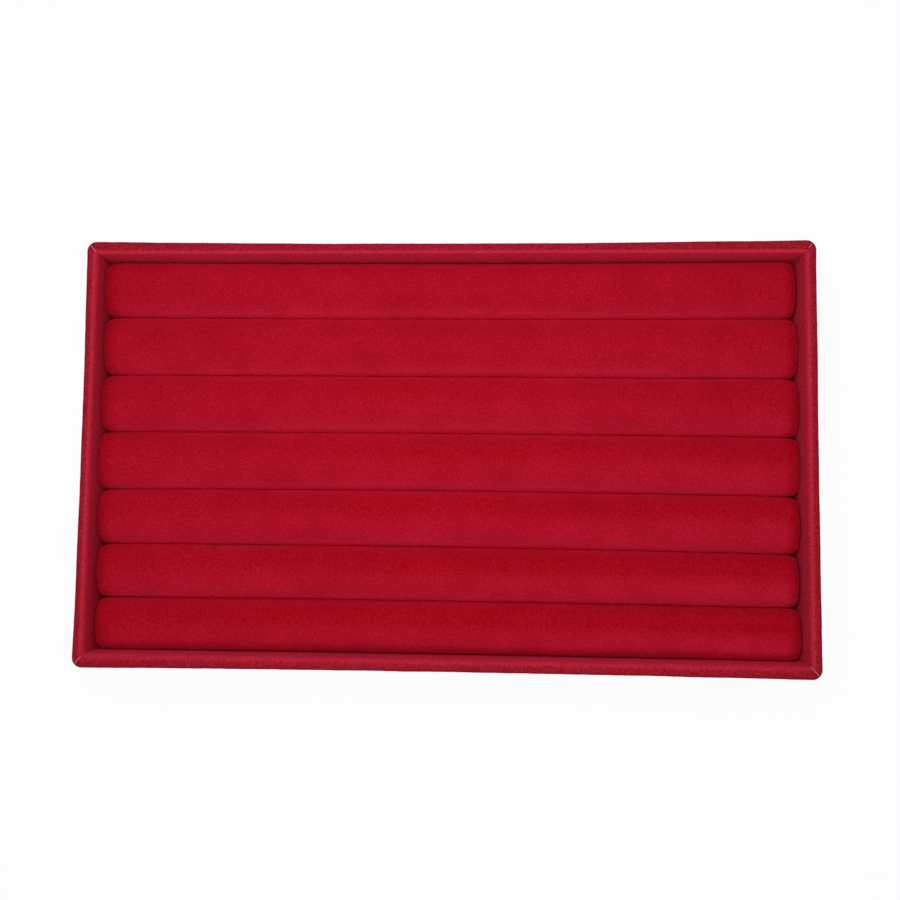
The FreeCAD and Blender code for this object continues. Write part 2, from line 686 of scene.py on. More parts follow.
@dataclass(frozen=True)
class Wrapping:
    """How the velvet lies on one wall, and the painted light and shade on it.

    Attributes:
        flare: How far its bulk stands out past the board, most where it is folded at the corners.
        pressed: How far it is pressed back inside the wall. Below zero it stands off its board.
        opened_painted_light: How far the pile leans over along the top of the rim, which sets a painted
            highlight there.
        brushed_painted_light: How far the pile leans over inside the wall, which sets painted light on its
            inner face.
        painted_shade_below: Share of that lean and its painted light which is lost on the way down to the
            rolls, a painted shade.
    """

    flare: Stray
    pressed: float
    opened_painted_light: float
    brushed_painted_light: float
    painted_shade_below: float


# Painted light and shade by wall: the back wall's inner face is painted lightest, and the left wall's inner
# face is painted darker towards the rolls
# The rolls are pushed against the left wall, and leave the velvet loose inside the front wall
WRAPPINGS = {
    Side.FRONT: Wrapping(Stray(0.7, -0.07, 0.28), pressed=-0.6, opened_painted_light=0.18, brushed_painted_light=0.33, painted_shade_below=0.0),
    Side.RIGHT: Wrapping(Stray(0.4, 0.3, 0.55), pressed=0.0, opened_painted_light=0.33, brushed_painted_light=0.2, painted_shade_below=0.0),
    Side.BACK: Wrapping(Stray(0.85, -0.08, 0.8), pressed=0.0, opened_painted_light=0.0, brushed_painted_light=1.0, painted_shade_below=0.0),
    Side.LEFT: Wrapping(Stray(0.88, 0.32, 0.8), pressed=0.3, opened_painted_light=0.32, brushed_painted_light=0.25, painted_shade_below=1.0),
}


@dataclass
class WallWrap:
    """One strip of velvet folded over a wall: turned under the base, up the outside and down the inside.

    Attributes:
        sizes: The tray's measures.
        side: Which wall it covers.
        corner_round: Radius of the tray's upright outer corners.
        rim_rise: How far the pile stands up past the rim's velvet.
        rim_outer: Radius along the rim's outer edge.
        rim_inner: Width over which the rim rounds off to the inner face.
        rim_drop: Height over which it does so.
        rim_slope: How much lower the rim is at its outer edge.
        foot_round: Radius along the lower outer edge.
        turn_in: Width of the velvet turned under the base.
        seam_depth: How deep the velvet dips into the mitre.
        seam_width: How wide that dip is.
        seam_start: Distance in from the outer face at which the dip reaches its depth.
        seam_least: Share of the dip that is left on the outer face.
        seam_fade: Share of the dip that is lost over the rim's inner edge.
        wave: Height of slow waves where the velvet isn't quite flat.
        wave_size: Width of such a wave.
        tufting: Height of the pile's clumps.
        tuft_size: Width of such a clump.
        inner_calm: Share of the waves and clumps that is left inside the wall.
        mitre_calm: Distance from a mitre over which they fade.
        seed: Picks the waves and clumps of the first wall, and the step to the next wall's.
        upright: How far the pile leans over where nothing opens it, which sets the least painted highlight.
        ridge_highlight_band: Half the width of the band along the rim's inner edge where the pile opens and a
            painted highlight lies.
        painted_shade_drop: Height over which the lean and painted light inside the wall fade into painted
            shade.
        coarse_step: Distance between corners across the flat faces.
        mitre_step: Distance between corners along the wall next to a mitre.
        step_growth: How much further apart each corner along the wall is than the last.
        widest_step: The most that they are apart.
        turn_rows: Rows of faces round the foot, the rim's outer edge and its inner edge.
        rim_rows: Rows of faces across the top of the rim.
        line_points: Points in a line along the mitre.
    """

    sizes: TraySizes
    side: Side
    corner_round: float = 3.2
    rim_rise: float = 0.3
    rim_outer: float = 0.8
    rim_inner: float = 1.0
    rim_drop: float = 1.6
    rim_slope: float = 0.25
    foot_round: float = 0.9
    turn_in: float = 8.0
    seam_depth: float = 0.35
    seam_width: float = 0.55
    seam_start: float = 1.2
    seam_least: float = 0.15
    seam_fade: float = 0.6
    wave: float = 0.1
    wave_size: float = 16.0
    tufting: float = 0.05
    tuft_size: float = 2.4
    inner_calm: float = 0.5
    mitre_calm: float = 3.0
    seed: float = 11.3
    upright: float = 0.12
    ridge_highlight_band: float = 0.5
    painted_shade_drop: float = 6.0
    coarse_step: float = 1.0
    mitre_step: float = 0.12
    step_growth: float = 1.3
    widest_step: float = 0.85
    turn_rows: tuple[int, int, int] = (4, 7, 13)
    rim_rows: int = 5
    line_points: int = 12

    @property
    def along_x(self) -> bool:
        """Whether the wall is a long one."""
        return self.side in (Side.FRONT, Side.BACK)

    @property
    def half_run(self) -> float:
        """Half the wall's length."""
        return self.sizes.half_length if self.along_x else self.sizes.half_width

    @property
    def half_reach(self) -> float:
        """Distance from the tray's middle to the wall's outer face."""
        return self.sizes.half_width if self.along_x else self.sizes.half_length

    @property
    def rim_top(self) -> float:
        """Height of the rim over the pile."""
        return self.sizes.height + self.rim_rise

    @property
    def inner_rows(self) -> int:
        """Rows of corners down the inner face."""
        return round((self.rim_top - self.rim_outer - self.foot_round) / self.coarse_step) + 1

    def profile(self) -> np.ndarray:
        """Draws the velvet's visible face in section.

        Returns:
            Distance in from the outer face and height, one point to a row, from the turn-in over the rim
            to the foot of the inner face.
        """
        wall, foot, top = self.sizes.wall, self.foot_round, self.rim_top
        outer, inner = top - self.rim_outer, top - self.rim_drop
        turns = [np.linspace(0, math.pi / 2, rows + 1)[1:] for rows in self.turn_rows]
        foot_turn, out_turn, in_turn = turns[0][:-1], turns[1], turns[2][:-1]
        under = np.arange(self.turn_in, foot + self.coarse_step / 2, -self.coarse_step)
        up = np.linspace(foot, outer, round((outer - foot) / self.coarse_step) + 1)
        across = np.linspace(self.rim_outer, wall - self.rim_inner, self.rim_rows + 1)[1:]
        down = np.linspace(inner, self.sizes.board_top, self.inner_rows)
        out_curve = np.column_stack([1 - np.cos(out_turn), np.sin(out_turn)]) * self.rim_outer
        in_curve = np.column_stack([np.sin(in_turn), np.cos(in_turn) - 1]) * (self.rim_inner, self.rim_drop)
        line = np.vstack([
            np.column_stack([under, np.zeros_like(under)]),
            [(foot, 0.0)],
            np.column_stack([foot - foot * np.sin(foot_turn), foot - foot * np.cos(foot_turn)]),
            np.column_stack([np.zeros_like(up), up]),
            out_curve + (0.0, outer),
            np.column_stack([across, np.full_like(across, top)]),
            in_curve + (wall - self.rim_inner, top),
            np.column_stack([np.full_like(down, wall), down]),
        ])
        to_ridge = np.clip(1 - line[:, 0] / (wall - self.rim_inner), 0, 1)
        line[:, 1] -= self.rim_slope * np.where(line[:, 1] > outer, to_ridge**2, 0)
        return line

    def sunk(self, face: np.ndarray, depth: float) -> np.ndarray:
        """The visible face in section, moved into the wall by a depth."""
        return face + depth * beside(face)

    def shares(self) -> np.ndarray:
        """Divides the wall's length, most finely at the mitres.

        Returns:
            Places along the wall from -1 to 1, one mitre to the other.
        """
        steps, place, step = [0.0], 0.0, self.mitre_step
        while place < self.half_run:
            place += step
            steps.append(min(place, self.half_run))
            step = min(step * self.step_growth, self.widest_step)
        half = 1 - np.array(steps) / self.half_run
        return np.concatenate([-half, half[-2::-1]])

    def run_length(self, inward: np.ndarray) -> np.ndarray:
        """Measures from the wall's middle to its mitre.

        Args:
            inward: Distances in from the outer face.

        Returns:
            The length at each of them.
        """
        rounded = (self.corner_round - inward) * math.pi / 4
        return self.half_run - self.corner_round + np.where(
            inward < self.corner_round, rounded, self.corner_round - inward
        )

    def spread(self, section: np.ndarray, shares: np.ndarray) -> np.ndarray:
        """Sweeps a section from mitre to mitre, round the outer corners.

        Args:
            section: Distance in and height of each row.
            shares: Places along the wall from -1 to 1.

        Returns:
            Places in the tray's frame by row and column.
        """
        inward, height = section[:, :1], section[:, 1:]
        run = shares[None, :] * self.run_length(inward)
        straight = self.half_run - np.maximum(self.corner_round, inward)
        radius = np.maximum(self.corner_round - inward, TINY)
        past = np.maximum(np.abs(run) - straight, 0)
        angle = np.where(inward < self.corner_round, past / radius, 0)
        along = np.sign(run) * (np.abs(run) - past + radius * np.sin(angle))
        out = self.half_reach - (inward + radius * (1 - np.cos(angle)))
        level = np.broadcast_to(height, run.shape)
        outer = np.clip(1 - inward / self.sizes.wall, 0, 1)
        place = along / self.half_run
        here, after, before = (WRAPPINGS[self.side.turned(quarters)] for quarters in (0, 1, -1))
        out = out + outer * here.flare.at(place) + (1 - outer) * here.pressed
        flare = np.where(place > 0, after.flare.left, before.flare.right)
        pressed = np.where(place > 0, after.pressed, before.pressed)
        along = along + (outer * flare + (1 - outer) * pressed) * place**3
        turn = self.side.value * math.pi / 2
        x = along * math.cos(turn) + out * math.sin(turn)
        y = along * math.sin(turn) - out * math.cos(turn)
        return np.stack([x, y, level], axis=-1)

    def build(self) -> Object:
        """Makes the closed velvet strip with its pile relief, map and lean.

        Returns:
            The strip.
        """
        face = self.profile()
        section = np.vstack([face, self.sunk(face, self.sizes.velvet)[::-1]])
        shares = self.shares()
        points = self.spread(section, shares)
        rows, columns = points.shape[:2]
        number = np.arange(rows * columns).reshape(rows, columns)
        after = np.roll(number, -1, axis=0)
        strips = np.stack([number[:, :-1], number[:, 1:], after[:, 1:], after[:, :-1]], axis=-1)
        ends = []
        for column in (0, columns - 1):
            outer, inner = number[:len(face), column], number[len(face):, column][::-1]
            ends.append(np.stack([outer[:-1], outer[1:], inner[1:], inner[:-1]], axis=-1))
        faces = np.concatenate([strips.reshape(-1, 4), *ends])
        wrap = new_piece(f"wall_velvet_{self.side.label}", points.reshape(-1, 3), faces.tolist())
        turn_faces_out(wrap, DOUBLES)
        self.raise_pile(wrap, face, shares)
        self.map_cloth(wrap, face, shares)
        return wrap

    def raise_pile(self, wrap: Object, face: np.ndarray, shares: np.ndarray) -> None:
        """Gives the visible face its slow waves, pile clumps and the dips at the mitres.

        Args:
            wrap: The strip.
            face: The visible face in section.
            shares: Places along the wall from -1 to 1.
        """
        points = corners_of(wrap)
        seen = len(face) * len(shares)
        outward = self.spread(self.sunk(face, -1.0), shares) - self.spread(face, shares)
        to_mitre = self.run_length(face[:, :1]) * (1 - np.abs(shares[None, :]))
        dip = self.seam_depth * np.exp(-((to_mitre / self.seam_width) ** 2))
        inside = np.arange(len(face))[:, None] >= len(face) - self.inner_rows
        outside = face[:, 1:] < self.rim_top - self.rim_outer
        ridge = self.sizes.wall - self.rim_inner
        over = np.clip(face[:, :1] / self.seam_start, self.seam_least, 1.0)
        over *= 1 - self.seam_fade * np.clip((face[:, :1] - ridge) / self.rim_inner, 0, 1)
        dip = np.where(inside, 0.0, np.where(outside, self.seam_least, over) * dip)
        seed = self.seed * (self.side.value + 1)
        high = self.wave * unevenness(points[:seen], self.wave_size, seed)
        high += self.tufting * unevenness(points[:seen], self.tuft_size, seed)
        calm = np.where(inside, self.inner_calm, 1.0) * np.clip(to_mitre / self.mitre_calm, 0, 1)
        high = high.reshape(dip.shape) * calm
        points[:seen] += (outward * (high - dip)[:, :, None]).reshape(-1, 3)
        points[:, 2] = np.maximum(points[:, 2], 0.0)
        place_corners(wrap, points)

    def mitre_line(self, start: float, stop: float, depth: float) -> np.ndarray:
        """Draws a line along the mitre at the wall's right-hand end, over the rim.

        Args:
            start: Distance over the velvet from the top of the outer face to the line's first point.
            stop: Distance to its last point.
            depth: How deep it lies under the velvet's face beside the mitre.

        Returns:
            The line's points in the tray's frame.
        """
        face = self.profile()
        gone = gone_along(face)
        gone -= gone[np.argmax(face[:, 1] >= self.rim_top - self.rim_outer)]
        wanted = np.linspace(start, stop, self.line_points)
        sunk = self.sunk(face, depth)
        line = np.column_stack([np.interp(wanted, gone, sunk[:, axis]) for axis in (0, 1)])
        return self.spread(line, np.ones(1))[:, 0]

    def map_cloth(self, wrap: Object, face: np.ndarray, shares: np.ndarray) -> None:
        """Lays the cloth's own map and lean on the strip; the lean sets the painted light along the rim and
        inside the wall.

        Args:
            wrap: The strip.
            face: The visible face in section.
            shares: Places along the wall from -1 to 1.
        """
        across = gone_along(face)
        across = np.concatenate([across, across[::-1]])
        columns = np.tile(shares * self.half_run, len(across))
        lay_cloth(wrap, np.column_stack([columns, np.repeat(across, len(shares))]))
        hand = WRAPPINGS[self.side]
        past_ridge = face[:, 0] - self.sizes.wall + self.rim_inner
        below_rim = self.rim_top - face[:, 1] - self.rim_drop
        on_rim = face[:, 1] > self.rim_top - self.rim_drop
        # Painted highlight in a band along the rim's inner edge
        painted_ridge_highlight = np.where(on_rim, np.exp(-((past_ridge / self.ridge_highlight_band) ** 2)), 0.0)
        inside = np.clip(past_ridge / self.rim_inner, 0, 1)
        # Painted shade: the painted light inside the wall fades towards the bottom
        painted_shade_below = hand.painted_shade_below * np.clip(below_rim / self.painted_shade_drop, 0, 1)
        lean = self.upright + hand.opened_painted_light * painted_ridge_highlight + hand.brushed_painted_light * inside * (1 - painted_shade_below)
        lean = np.concatenate([lean, np.zeros_like(lean)])
        set_nap_and_painted_light(wrap, np.repeat(lean, len(shares)))

    def finish(self, wrap: Object, velvet: Material, fibreboard: Material) -> None:
        """Dresses the strip and its board, and ties the strip to the tray.

        Args:
            wrap: The strip.
            velvet: The strip's material.
            fibreboard: The board's material.
        """
        board = f"wall_board_{self.side.label}"
        dress(wrap, velvet)
        dress(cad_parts[board], fibreboard)
        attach(wrap, "tray")
        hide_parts(f"wall_cover_{self.side.label}")
        flat = (2 * self.half_run * MM, float(gone_along(self.profile())[-1]) * MM)


@dataclass(frozen=True)
class ThreadRun:
    """A stretch of sewing thread that shows in a mitre.

    Attributes:
        side: The wall whose right-hand end the mitre is at.
        start: Distance over the rim from the top of the outer face to where it comes out.
        stop: Distance to where it goes in again.
    """

    side: Side
    start: float
    stop: float


# Long stretches at the two front corners, and short ones at the back where the pile covers them
THREAD_RUNS = (
    ThreadRun(Side.LEFT, 0.5, 3.1),
    ThreadRun(Side.FRONT, 0.6, 5.4),
    ThreadRun(Side.RIGHT, 1.1, 2.2),
    ThreadRun(Side.BACK, 1.0, 3.2),
)


@dataclass
class MitreThreads:
    """Two-ply thread that draws the strips of velvet together at the mitres.

    Attributes:
        sizes: The tray's measures.
        ply: Radius of one of the two plies.
        ply_faces: Faces round a ply.
        lay: Distance along the thread between its rings of corners.
        twist: Turn of the plies over one millimetre, in radians.
        wander: How far the thread strays from the mitre.
        wander_size: Length of one such bend.
        depth: How deep the thread lies in the mitre.
        seed: Picks the bends.
    """

    sizes: TraySizes
    ply: float = 0.11
    ply_faces: int = 6
    lay: float = 0.08
    twist: float = 5.0
    wander: float = 0.35
    wander_size: float = 0.9
    depth: float = 0.16
    seed: float = 4.0

    def tree(self, thread: Material) -> NodeTree:
        """Builds the nodes that lay a twisted thread along each line of a mesh.

        Args:
            thread: The thread's material.

        Returns:
            The node tree, with its sizes as named inputs.
        """
        tree = bpy.data.node_groups.new("thread_along_line", "GeometryNodeTree")
        tree.interface.new_socket("Lines", in_out="INPUT", socket_type="NodeSocketGeometry")
        for name in ("Ply Radius", "Lay", "Twist", "Wander", "Wander Size", "Seed"):
            tree.interface.new_socket(name, in_out="INPUT", socket_type="NodeSocketFloat")
        tree.interface.new_socket("Thread", in_out="OUTPUT", socket_type="NodeSocketGeometry")
        given = add_node(tree, "NodeGroupInput").outputs
        line = add_node(tree, "GeometryNodeMeshToCurve", links={"Mesh": given["Lines"]})
        even = add_node(
            tree, "GeometryNodeResampleCurve", links={"Curve": line, "Length": given["Lay"]}, mode="LENGTH",
        )
        scale = add_node(tree, "ShaderNodeMath", {0: 1.0}, {1: given["Wander Size"]}, operation="DIVIDE")
        bends = add_node(
            tree, "ShaderNodeTexNoise", {"Detail": 1.0}, {"W": given["Seed"], "Scale": scale},
            noise_dimensions="4D",
        )
        centred = add_node(
            tree, "ShaderNodeVectorMath", {1: (0.5, 0.5, 0.5)}, {0: bends.outputs["Color"]},
            operation="SUBTRACT",
        )
        stray = add_node(
            tree, "ShaderNodeVectorMath", links={0: centred, "Scale": given["Wander"]}, operation="SCALE",
        )
        bent = add_node(tree, "GeometryNodeSetPosition", links={"Geometry": even, "Offset": stray})
        gone = add_node(tree, "GeometryNodeSplineParameter").outputs["Length"]
        turn = add_node(tree, "ShaderNodeMath", links={0: gone, 1: given["Twist"]}, operation="MULTIPLY")
        twisted = add_node(tree, "GeometryNodeSetCurveTilt", links={"Curve": bent, "Tilt": turn})
        ring = add_node(
            tree, "GeometryNodeCurvePrimitiveCircle", {"Resolution": self.ply_faces},
            {"Radius": given["Ply Radius"]},
        )
        plies = add_node(tree, "GeometryNodeJoinGeometry")
        for way in (1.0, -1.0):
            distance = add_node(
                tree, "ShaderNodeMath", {1: way}, {0: given["Ply Radius"]}, operation="MULTIPLY",
            )
            aside = add_node(tree, "ShaderNodeCombineXYZ", links={"X": distance})
            ply = add_node(tree, "GeometryNodeTransform", links={"Geometry": ring, "Translation": aside})
            tree.links.new(ply.outputs[0], plies.inputs[0])
        tube = add_node(
            tree, "GeometryNodeCurveToMesh", {"Fill Caps": True}, {"Curve": twisted, "Profile Curve": plies},
        )
        smooth = add_node(tree, "GeometryNodeSetShadeSmooth", links={"Geometry": tube})
        real = add_node(tree, "GeometryNodeRealizeInstances", links={"Geometry": smooth})
        dressed = add_node(tree, "GeometryNodeSetMaterial", {"Material": thread}, {"Geometry": real})
        add_node(tree, "NodeGroupOutput", links={"Thread": dressed})
        return tree

    def build(self, thread: Material) -> Object:
        """Lays the thread along the mitres.

        Args:
            thread: The thread's material.

        Returns:
            All stretches of thread as one piece.
        """
        lines, edges, total = [], [], 0
        for run in THREAD_RUNS:
            line = WallWrap(self.sizes, run.side).mitre_line(run.start, run.stop, self.depth)
            lines.append(line)
            edges += [(total + step, total + step + 1) for step in range(len(line) - 1)]
            total += len(line)
        piece = new_piece("mitre_threads", np.vstack(lines), [], edges)
        grow(piece, self.tree(thread), {
            "Ply Radius": self.ply * MM,
            "Lay": self.lay * MM,
            "Twist": self.twist / MM,
            "Wander": self.wander * MM,
            "Wander Size": self.wander_size * MM,
            "Seed": self.seed,
        })
        return piece

    def finish(self, piece: Object) -> None:
        """Ties the threads to the tray."""
        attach(piece, "tray")


@dataclass
class FlatSheet:
    """A sheet glued flat: the lining under the rolls or the felt under the tray.

    Attributes:
        name: The piece's name.
        node: The CAD node it stands for.
        slot: Name of a material slot. Not used.
        inset: How far its edges stay inside the node's.
        wave: Height of slow waves in the face that shows.
        tufting: Height of the clumps on that face.
        faces_down: Whether the face that shows is the lower one.
        step: Distance between its corners.
        wave_size: Width of a wave.
        tuft_size: Width of a clump.
        seeds: Pick the waves and the clumps.
        lean: How far the pile leans over, which on velvet gives an even painted highlight.
    """

    name: str
    node: str
    slot: str
    inset: float
    wave: float
    tufting: float
    faces_down: bool
    step: float = 2.0
    wave_size: float = 22.0
    tuft_size: float = 1.1
    seeds: tuple[float, float] = (5.0, 9.0)
    lean: float = 0.3

    def build(self) -> Object:
        """Makes the closed sheet, with its relief on the face that shows.

        Returns:
            The sheet.
        """
        low, high = (np.array(place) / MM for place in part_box(self.node))
        low[:2] += self.inset
        high[:2] -= self.inset
        counts = [max(2, round((high[axis] - low[axis]) / self.step) + 1) for axis in (0, 1)]
        xs, ys = (np.linspace(low[axis], high[axis], counts[axis]) for axis in (0, 1))
        grid = np.stack(np.meshgrid(xs, ys, indexing="ij"), axis=-1).reshape(-1, 2)
        offset = len(grid)
        number = np.arange(offset).reshape(counts)
        quads = quads_of(number)
        rim = np.concatenate([number[:, 0], number[-1, 1:], number[-2::-1, -1], number[0, -2:0:-1]])
        after = np.roll(rim, -1)
        sides = np.column_stack([rim, after, after + offset, rim + offset])
        spots = np.column_stack([grid, np.zeros(offset)])
        raised = self.wave * unevenness(spots, self.wave_size, self.seeds[0])
        raised += self.tufting * unevenness(spots, self.tuft_size, self.seeds[1])
        raised = np.minimum(raised - self.wave / 2, 0.0)
        lower = np.column_stack([grid, low[2] - raised * self.faces_down])
        upper = np.column_stack([grid, high[2] + raised * (not self.faces_down)])
        faces = quads[:, ::-1].tolist() + (quads + offset).tolist() + sides.tolist()
        sheet = new_piece(self.name, np.vstack([lower, upper]), faces)
        turn_faces_out(sheet, DOUBLES)
        lay_cloth(sheet, corners_of(sheet)[:, :2])
        set_nap_and_painted_light(sheet, np.full(2 * offset, self.lean))
        return sheet

    def finish(self, sheet: Object, material: Material) -> None:
        """Dresses the sheet and ties it to the tray.

        Args:
            sheet: The sheet.
            material: Its material.
        """
        dress(sheet, material)
        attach(sheet, "tray")
        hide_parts(self.node)


# The grooves from the back wall to the front wall, laid by hand and pressed together
GROOVES = (
    Stray(-0.4, -0.68, -0.25),
    Stray(0.15, -0.12, 0.05),
    Stray(-0.2, -0.13, -0.55),
    Stray(-0.25, 0.1, -0.6),
    Stray(-0.6, -0.05, -1.0),
    Stray(-0.3, -0.1, -1.2),
    Stray(-0.05, 0.15, -0.45),
    Stray(-0.1, 0.35, -0.2),
)
LAST = len(GROOVES) - 1

# How hard each roll is pushed against the left wall and the right wall, from the back
LEFT_PRESS = (0.9, 0.5, 0.65, 1.3, 0.4, 0.2, 0.1)
RIGHT_PRESS = (-0.2, 0.3, 0.3, 0.65, 0.16, -0.4, 0.12)

# Cloth settings for a cover that foam fills, and how long it takes
FILLING = {
    "quality": 4,
    "mass": 0.3,
    "tension_stiffness": 15.0,
    "compression_stiffness": 15.0,
    "shear_stiffness": 5.0,
    "bending_stiffness": 0.5,
    "use_pressure": True,
    "uniform_pressure_force": 2.0,
}
FILLING_FRAMES = 16


@dataclass(frozen=True)
class RollNapAndPaintedLight:
    """How the pile leans over on a roll, from 0, upright, to 1, lying on its side, which sets its painted
    light.

    It leans more ahead of a crown than behind it, so the painted highlight is stronger where the lamp behind
    leaves shade.

    Attributes:
        crown: Lean on the crown, which sets a faint painted highlight.
        crown_swing: How much more there is ahead of the front roll's crown, and less behind it.
        swing_growth: Share by which that grows to the right end and shrinks to the left.
        swing_width: Distance from the crown's middle over which it sets in.
        shoulder: Lean on the shoulders, a painted highlight that keeps them as light as the crown where shade
            would fall.
        shoulder_swing: How much more there is on the shoulder ahead, and less on the one behind.
        forward_change: How much less of the one and more of the other the front roll has.
        onset: Power by which the lean sets in from the crown to the shoulder.
        shut_back: Distance from the groove behind over which the pile is shut and the painted highlight
            fades.
        shut_wall: The same at the back wall.
        shut_front: Distance from the groove ahead over which the pile is shut.
        shut_last: The same from the front roll's front edge, which paints shade down its front shoulder.
        least: Share of the lean that is left in a groove.
        least_last: The same at the front roll's front edge.
        end_width: Distance from the ends over which the lean and its painted highlight fade, a painted shade
            at the ends.
        end_least: Share of it that is left at the left end and the right end.
        patchy: Share by which it changes from place to place.
        patch_size: Width of such a place.
    """

    crown: float = 0.22
    crown_swing: float = 0.2
    swing_growth: float = 0.4
    swing_width: float = 3.0
    shoulder: float = 1.3
    shoulder_swing: float = 0.5
    forward_change: float = 0.15
    onset: float = 1.7
    shut_back: float = 1.0
    shut_wall: float = 1.5
    shut_front: float = 0.4
    shut_last: float = 3.5
    least: float = 0.55
    least_last: float = 0.1
    end_width: float = 6.0
    end_least: tuple[float, float] = (0.0, 0.4)
    patchy: float = 0.3
    patch_size: float = 9.0


@dataclass
class RingRoll:
    """One upholstered roll: velvet drawn over a foam loaf and turned under a strip of card.

    Attributes:
        sizes: The tray's measures.
        number: Its place in the row, from 1 at the back.
        nap_and_painted_light: How its pile leans over, and so the painted light on it.
        shoulder: Radius of the long upper edges.
        shoulder_drop: Height from the widest line to the crown.
        side_draw: How far the sides draw in towards the base.
        end_round: Radius over the ends.
        corner_share: Share of that radius at the ends' upright corners.
        end_bow: How far the ends fall back from their middle to their corners.
        slack: How much smaller the cover starts before the foam fills it.
        swell: The most that filling moves any point.
        press: How far the roll would stand past its neighbours and the walls if they gave way.
        touch: Distance left where it is pressed flat against them.
        hem: Width of the velvet turned under.
        step: Distance between corners along the roll before the cover is refined.
        wave: Height of slow waves in the cover.
        wave_size: Width of such a wave.
        tufting: Height of the pile's clumps.
        tuft_size: Width of such a clump.
        base_calm: Height over the base below which there are none, and over which they set in.
        seed: Picks the first roll's waves and clumps, and the step to the next roll's.
        wander: How far a groove wanders from side to side, slowly and from tuft to tuft.
        wander_size: Length of one such bend.
        wander_seed: Picks the first groove's bends, and the step to the next groove's.
        side_rows: Rows of faces up one side.
        crown_rows: Rows of faces over the crown.
        edge_rows: Rows of faces round a shoulder, half of them the side's and half the crown's.
        end_columns: Columns of faces round each end.
        fill_share: How full the roll is, from 0, slack, to 1, tight. Not used.
    """

    sizes: TraySizes
    number: int
    nap_and_painted_light: RollNapAndPaintedLight = RollNapAndPaintedLight()
    shoulder: float = 5.0
    shoulder_drop: float = 6.0
    side_draw: float = 0.6
    end_round: float = 4.2
    corner_share: float = 0.35
    end_bow: float = 0.5
    slack: float = 0.25
    swell: float = 0.5
    press: float = 0.3
    touch: float = 0.04
    hem: float = 5.0
    step: float = 1.6
    wave: float = 0.12
    wave_size: float = 18.0
    tufting: float = 0.05
    tuft_size: float = 1.8
    base_calm: tuple[float, float] = (1.0, 3.0)
    seed: float = 3.7
    wander: tuple[float, float] = (0.12, 0.07)
    wander_size: tuple[float, float] = (12.0, 2.2)
    wander_seed: tuple[float, float] = (7.1, 3.3)
    side_rows: int = 13
    crown_rows: int = 16
    edge_rows: int = 6
    end_columns: int = 5
    fill_share: float = 0.85

    @property
    def body(self) -> str:
        """The CAD body that the roll is."""
        return f"ring_roll_{self.number}"

    @property
    def box(self) -> tuple[np.ndarray, np.ndarray]:
        """Lowest and highest corner of the roll's CAD cover."""
        low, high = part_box(f"roll_cover_{self.number}")
        return np.array(low) / MM, np.array(high) / MM

    @property
    def wall_end(self) -> float:
        """Distance from the tray's middle to the velvet inside its right wall."""
        return self.sizes.half_length - self.sizes.wall

    def section(self, width: float) -> np.ndarray:
        """Draws the roll's outline across its length, over the top from one base corner to the other.

        Args:
            width: The roll's width at its widest line.

        Returns:
            Sideways place and height, one point to a row.
        """
        low, high = self.box
        half, top, radius = width / 2, high[2] - self.slack, self.shoulder
        widest = high[2] - self.shoulder_drop
        reach, drop = half - radius, top - widest
        crown = (reach**2 + drop**2 - radius**2) / (2 * (drop - radius))
        turn = math.asin(reach / (crown - radius))
        half_edge = self.edge_rows // 2
        rise = np.linspace(0, 1, self.side_rows + 1 - half_edge)
        side = np.column_stack([half - self.side_draw * (1 - rise) ** 2, low[2] + rise * (widest - low[2])])
        bend = np.linspace(0, math.pi / 2 - turn, self.edge_rows + 1)[1:]
        edge = np.column_stack([reach + radius * np.cos(bend), widest + radius * np.sin(bend)])
        lean = np.linspace(turn, 0, self.crown_rows // 2 + 1 - half_edge)[1:]
        arc = np.column_stack([crown * np.sin(lean), top - crown * (1 - np.cos(lean))])
        half_line = np.vstack([side, edge, arc])
        other = half_line[-2::-1] * (-1, 1)
        return np.vstack([half_line, other])[::-1]

    def cover(self) -> tuple[np.ndarray, list[list[int]], np.ndarray]:
        """Cuts the cover before it is filled: an all-quad loaf with rounded ends and no base.

        Returns:
            Its corners, its faces, and each corner's place on the cloth's own map.
        """
        low, high = self.box
        stop = self.wall_end + RIGHT_PRESS[self.number - 1] - self.slack
        left_wall = self.wall_end + WRAPPINGS[Side.LEFT].pressed
        start = -(left_wall + LEFT_PRESS[self.number - 1] - self.slack)
        bend = np.linspace(0, math.pi / 2, self.end_columns + 1)
        lead = self.end_round * (1 - np.cos(bend))
        draw = self.end_round * (1 - np.sin(bend))
        count = round((stop - start - 2 * self.end_round) / self.step)
        middle = np.linspace(start + self.end_round, stop - self.end_round, count + 1)[1:-1]
        xs = np.concatenate([start + lead, middle, stop - lead[::-1]])
        draws = np.concatenate([draw, np.zeros_like(middle), draw[::-1]])

        width = high[1] - low[1] + 2 * (self.press - self.slack)
        line = self.section(width)
        inward = beside(line)
        inward[:, 1] *= np.clip((line[:, 1] - low[2]) / self.end_round, 0, 1)
        on_crown = np.clip((line[:, 1] - (high[2] - self.shoulder_drop)) / self.shoulder_drop, 0, 1)
        inward *= (self.corner_share + (1 - self.corner_share) * on_crown)[:, None]
        rings = line[None] + inward[None] * draws[:, None, None]
        columns, rows = rings.shape[:2]
        to_end = np.concatenate([np.cos(bend), np.zeros_like(middle), -np.cos(bend)[::-1]])
        bow = self.end_bow * (2 * rings[:, :, 0] / width) ** 2
        points = np.concatenate([(xs[:, None] + to_end[:, None] * bow)[:, :, None], rings], axis=-1)
        cloth = np.stack(np.broadcast_arrays(xs[:, None], gone_along(line)[None, :]), axis=-1)

